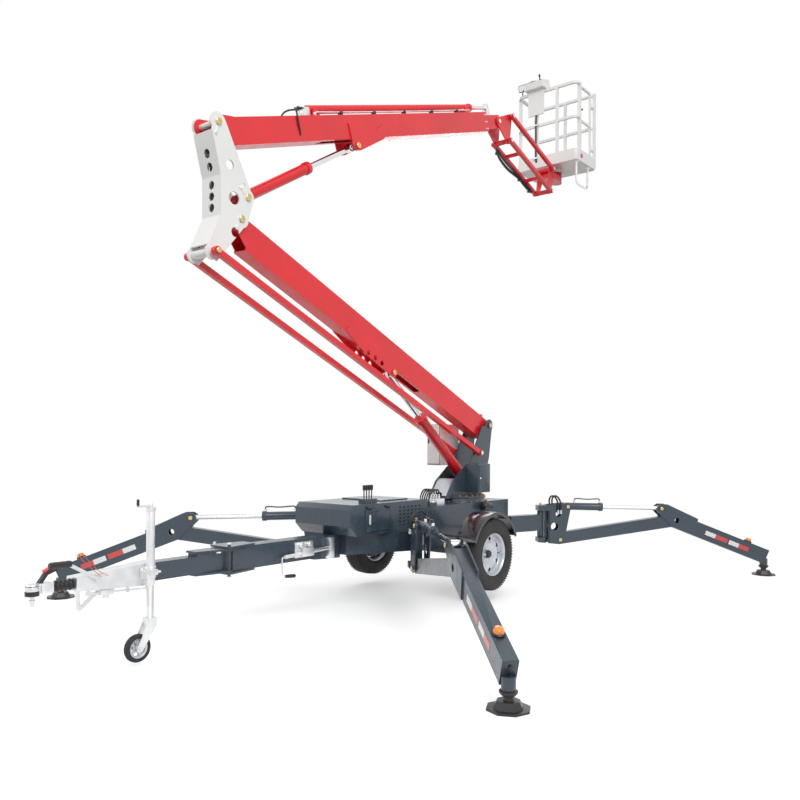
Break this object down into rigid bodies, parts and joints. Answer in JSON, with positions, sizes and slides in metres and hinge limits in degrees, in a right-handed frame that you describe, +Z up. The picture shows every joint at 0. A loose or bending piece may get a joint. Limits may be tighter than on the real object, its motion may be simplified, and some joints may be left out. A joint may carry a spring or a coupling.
{
  "type": "boom lift",
  "caption": "Trailer-mounted articulated boom lift on hydraulic outriggers, red booms with a telescopic upper section, jib and white work platform",
  "frame": {"origin": "middle of the box round the whole machine, on the floor", "axes": "+X forwards to the tow coupling, +Y to the left, +Z up"},
  "size_m": [8.0097, 5.5306, 6.525],
  "materials": {
    "boom_red": "gloss",
    "white_paint": "gloss",
    "slate_paint": "satin",
    "black_paint": "satin",
    "chrome_rod": "polished",
    "zinc_steel": "satin",
    "wheel_steel": "satin",
    "tyre_rubber": "matt",
    "black_rubber": "matt"
  },
  "bodies": {
    "chassis": {"main_frame": "slate_paint", "front_arms": "slate_paint", "rear_arms": "slate_paint", "drawbar": "slate_paint", "axle": "black_paint", "fenders": "black_paint", "power_cabinet": "slate_paint"},
    "left_wheel": {"left_tyre": "tyre_rubber", "left_rim": "wheel_steel"},
    "right_wheel": {"right_tyre": "tyre_rubber", "right_rim": "wheel_steel"},
    "cabinet_door": {"cabinet_door": "slate_paint"},
    "drawbar_nose": {"drawbar_nose": "slate_paint", "coupling_housing": "zinc_steel", "drawbar_boot": "black_rubber", "coupling_head": "black_paint", "jack_tube": "zinc_steel"},
    "jack_leg": {"jack_leg": "zinc_steel"},
    "nose_wheel": {"nose_wheel": "black_rubber"},
    "turret": {"turret": "slate_paint", "valve_box": "slate_paint", "electric_cabinet": "white_paint"},
    "lower_boom": {"lower_boom": "boom_red"},
    "lift_barrel": {"lift_ram_barrel": "boom_red"},
    "lift_rod": {"lift_ram_rod": "chrome_rod"},
    "levelling_rods": {"levelling_rods": "boom_red"},
    "knuckle": {"knuckle": "white_paint"},
    "upper_boom": {"upper_boom": "boom_red", "reach_cylinder": "boom_red"},
    "upper_barrel": {"upper_ram_barrel": "boom_red"},
    "upper_rod": {"upper_ram_rod": "chrome_rod"},
    "telescope": {"telescopic_boom": "boom_red", "reach_rod": "chrome_rod"},
    "jib_head": {"jib_head": "boom_red"},
    "jib_frame": {"jib_frame": "boom_red"},
    "jib_link": {"jib_link": "boom_red"},
    "platform_support": {"platform_support": "boom_red"},
    "platform": {"platform_cage": "white_paint"},
    "platform_gate": {"platform_gate": "white_paint"},
    "front_left_bracket": {"front_left_bracket": "slate_paint"},
    "front_left_leg": {"front_left_leg": "slate_paint", "front_left_foot": "black_paint"},
    "front_left_barrel": {"front_left_ram_barrel": "slate_paint"},
    "front_left_rod": {"front_left_ram_rod": "chrome_rod"},
    "front_right_bracket": {"front_right_bracket": "slate_paint"},
    "front_right_leg": {"front_right_leg": "slate_paint", "front_right_foot": "black_paint"},
    "front_right_barrel": {"front_right_ram_barrel": "slate_paint"},
    "front_right_rod": {"front_right_ram_rod": "chrome_rod"},
    "rear_left_bracket": {"rear_left_bracket": "slate_paint"},
    "rear_left_leg": {"rear_left_leg": "slate_paint", "rear_left_foot": "black_paint"},
    "rear_left_barrel": {"rear_left_ram_barrel": "slate_paint"},
    "rear_left_rod": {"rear_left_ram_rod": "chrome_rod"},
    "rear_right_bracket": {"rear_right_bracket": "slate_paint"},
    "rear_right_leg": {"rear_right_leg": "slate_paint", "rear_right_foot": "black_paint"},
    "rear_right_barrel": {"rear_right_ram_barrel": "slate_paint"},
    "rear_right_rod": {"rear_right_ram_rod": "chrome_rod"}
  },
  "joints": [
    {"name": "left_wheel_spin", "type": "hinge", "parent": "chassis", "child": "left_wheel", "pos_m": [-0.32, 0.777, 0.472], "axis": [0, 1, 0], "continuous": true},
    {"name": "right_wheel_spin", "type": "hinge", "parent": "chassis", "child": "right_wheel", "pos_m": [-0.32, -0.777, 0.472], "axis": [0, 1, 0], "continuous": true},
    {"name": "door_hinge", "type": "hinge", "parent": "chassis", "child": "cabinet_door", "pos_m": [0.885, 0.3593, 1], "axis": [-1, 0, 0], "range_deg": [-95, 0]},
    {"name": "front_left_swing", "type": "hinge", "parent": "chassis", "child": "front_left_bracket", "pos_m": [0.53, 0.52, 0.632], "axis": [0, 0, -1], "range_deg": [0, 40]},
    {"name": "front_left_lift", "type": "hinge", "parent": "front_left_bracket", "child": "front_left_leg", "pos_m": [0.67696, 0.68905, 0.446], "axis": [0.7547, -0.6561, 0], "range_deg": [0, 45]},
    {"name": "front_left_ram_tilt", "type": "hinge", "parent": "front_left_bracket", "child": "front_left_barrel", "pos_m": [0.73732, 0.75849, 0.84], "axis": [0.7547, -0.6561, 0], "range_deg": [0, 60]},
    {"name": "front_left_ram_stroke", "type": "slide", "parent": "front_left_barrel", "child": "front_left_rod", "axis": [0.6559, 0.7545, -0.0207], "range_m": [-0.26, 0]},
    {"name": "front_right_swing", "type": "hinge", "parent": "chassis", "child": "front_right_bracket", "pos_m": [0.53, -0.52, 0.632], "axis": [0, 0, 1], "range_deg": [0, 40]},
    {"name": "front_right_lift", "type": "hinge", "parent": "front_right_bracket", "child": "front_right_leg", "pos_m": [0.67696, -0.68905, 0.446], "axis": [-0.7547, -0.6561, 0], "range_deg": [0, 45]},
    {"name": "front_right_ram_tilt", "type": "hinge", "parent": "front_right_bracket", "child": "front_right_barrel", "pos_m": [0.73732, -0.75849, 0.84], "axis": [-0.7547, -0.6561, 0], "range_deg": [0, 60]},
    {"name": "front_right_ram_stroke", "type": "slide", "parent": "front_right_barrel", "child": "front_right_rod", "axis": [0.6559, -0.7545, -0.0207], "range_m": [-0.26, 0]},
    {"name": "rear_left_swing", "type": "hinge", "parent": "chassis", "child": "rear_left_bracket", "pos_m": [-1.97, 0.485, 0.632], "axis": [0, 0, 1], "range_deg": [0, 40]},
    {"name": "rear_left_lift", "type": "hinge", "parent": "rear_left_bracket", "child": "rear_left_leg", "pos_m": [-2.12277, 0.64882, 0.446], "axis": [0.7314, 0.682, 0], "range_deg": [0, 45]},
    {"name": "rear_left_ram_tilt", "type": "hinge", "parent": "rear_left_bracket", "child": "rear_left_barrel", "pos_m": [-2.18551, 0.71611, 0.84], "axis": [0.7314, 0.682, 0], "range_deg": [0, 60]},
    {"name": "rear_left_ram_stroke", "type": "slide", "parent": "rear_left_barrel", "child": "rear_left_rod", "axis": [-0.6819, 0.7312, -0.0207], "range_m": [-0.26, 0]},
    {"name": "rear_right_swing", "type": "hinge", "parent": "chassis", "child": "rear_right_bracket", "pos_m": [-1.97, -0.485, 0.632], "axis": [0, 0, -1], "range_deg": [0, 40]},
    {"name": "rear_right_lift", "type": "hinge", "parent": "rear_right_bracket", "child": "rear_right_leg", "pos_m": [-2.12277, -0.64882, 0.446], "axis": [-0.7314, 0.682, 0], "range_deg": [0, 45]},
    {"name": "rear_right_ram_tilt", "type": "hinge", "parent": "rear_right_bracket", "child": "rear_right_barrel", "pos_m": [-2.18551, -0.71611, 0.84], "axis": [-0.7314, 0.682, 0], "range_deg": [0, 60]},
    {"name": "rear_right_ram_stroke", "type": "slide", "parent": "rear_right_barrel", "child": "rear_right_rod", "axis": [-0.6819, -0.7312, -0.0207], "range_m": [-0.26, 0]},
    {"name": "drawbar_fold", "type": "hinge", "parent": "chassis", "child": "drawbar_nose", "pos_m": [2.417, 0.092, 0.65], "axis": [0, 0, -1], "range_deg": [-100, 0]},
    {"name": "jack_stroke", "type": "slide", "parent": "drawbar_nose", "child": "jack_leg", "axis": [0, 0, 1], "range_m": [0, 0.13]},
    {"name": "nose_wheel_spin", "type": "hinge", "parent": "jack_leg", "child": "nose_wheel", "pos_m": [3.257, 0.123, 0.126], "axis": [0, 1, 0], "continuous": true},
    {"name": "slew", "type": "hinge", "parent": "chassis", "child": "turret", "pos_m": [-0.94, 0, 0.985], "axis": [0, 0, 1], "range_deg": [-175, 175]},
    {"name": "lower_boom_lift", "type": "hinge", "parent": "turret", "child": "lower_boom", "pos_m": [-1.4, 0, 1.803], "axis": [0, -1, 0], "range_deg": [-22, 42]},
    {"name": "lift_ram_tilt", "type": "hinge", "parent": "turret", "child": "lift_barrel", "pos_m": [-1.04, 0, 1.19], "axis": [0, -1, 0], "range_deg": [-25, 45]},
    {"name": "lift_ram_stroke", "type": "slide", "parent": "lift_barrel", "child": "lift_rod", "axis": [0.78, 0, 0.6257], "range_m": [-0.3, 0.52]},
    {"name": "levelling_swing", "type": "hinge", "parent": "turret", "child": "levelling_rods", "pos_m": [-1.111, 0, 1.484], "axis": [0, -1, 0], "range_deg": [-25, 45]},
    {"name": "knuckle_level", "type": "hinge", "parent": "lower_boom", "child": "knuckle", "pos_m": [2.3402, 0, 3.38754], "axis": [0, -1, 0], "range_deg": [-45, 25]},
    {"name": "upper_boom_lift", "type": "hinge", "parent": "knuckle", "child": "upper_boom", "pos_m": [2.5792, 0, 4.09754], "axis": [0, 1, 0], "range_deg": [-19, 50]},
    {"name": "upper_ram_tilt", "type": "hinge", "parent": "knuckle", "child": "upper_barrel", "pos_m": [2.2747, 0, 3.57554], "axis": [0, 1, 0], "range_deg": [-22, 52]},
    {"name": "upper_ram_stroke", "type": "slide", "parent": "upper_barrel", "child": "upper_rod", "axis": [-0.851, 0, 0.5251], "range_m": [-0.22, 0.52]},
    {"name": "telescope_stroke", "type": "slide", "parent": "upper_boom", "child": "telescope", "axis": [-0.9455, 0, 0.3256], "range_m": [0, 1.7]},
    {"name": "jib_head_level", "type": "hinge", "parent": "telescope", "child": "jib_head", "pos_m": [-1.63322, 0, 5.47078], "axis": [0, 1, 0], "range_deg": [-55, 25]},
    {"name": "jib_lift", "type": "hinge", "parent": "jib_head", "child": "jib_frame", "pos_m": [-1.85, 0, 5.3], "axis": [0, 1, 0], "range_deg": [-30, 60]},
    {"name": "jib_link_swing", "type": "hinge", "parent": "jib_head", "child": "jib_link", "pos_m": [-1.895, 0.115, 5.61], "axis": [0, 1, 0], "range_deg": [-45, 65]},
    {"name": "platform_level", "type": "hinge", "parent": "jib_frame", "child": "platform_support", "pos_m": [-2.9, 0, 4.947], "axis": [0, 1, 0], "range_deg": [-65, 45]},
    {"name": "platform_turn", "type": "hinge", "parent": "platform_support", "child": "platform", "pos_m": [-3.27, 0, 5.3], "axis": [0, 0, 1], "range_deg": [-20, 20]},
    {"name": "gate_hinge", "type": "hinge", "parent": "platform", "child": "platform_gate", "pos_m": [-3.495, 0.402, 5.8], "axis": [0, 0, -1], "range_deg": [0, 85]}
  ],
  "couplings": [
    {"joint": "front_left_ram_tilt", "follows": "front_left_lift", "ratio": 1.244},
    {"joint": "front_left_ram_stroke", "follows": "front_left_lift", "m_per_rad": -0.3033},
    {"joint": "front_right_ram_tilt", "follows": "front_right_lift", "ratio": 1.244},
    {"joint": "front_right_ram_stroke", "follows": "front_right_lift", "m_per_rad": -0.3033},
    {"joint": "rear_left_ram_tilt", "follows": "rear_left_lift", "ratio": 1.244},
    {"joint": "rear_left_ram_stroke", "follows": "rear_left_lift", "m_per_rad": -0.3033},
    {"joint": "rear_right_ram_tilt", "follows": "rear_right_lift", "ratio": 1.244},
    {"joint": "rear_right_ram_stroke", "follows": "rear_right_lift", "m_per_rad": -0.3033},
    {"joint": "lift_ram_tilt", "follows": "lower_boom_lift", "ratio": 0.907},
    {"joint": "lift_ram_stroke", "follows": "lower_boom_lift", "m_per_rad": 0.653},
    {"joint": "levelling_swing", "follows": "lower_boom_lift", "ratio": 1},
    {"joint": "knuckle_level", "follows": "lower_boom_lift", "ratio": -1},
    {"joint": "upper_ram_tilt", "follows": "upper_boom_lift", "ratio": 0.925},
    {"joint": "upper_ram_stroke", "follows": "upper_boom_lift", "m_per_rad": 0.554},
    {"joint": "jib_head_level", "follows": "upper_boom_lift", "ratio": -1},
    {"joint": "jib_link_swing", "follows": "jib_lift", "ratio": 1},
    {"joint": "platform_level", "follows": "jib_lift", "ratio": -1}
  ]
}
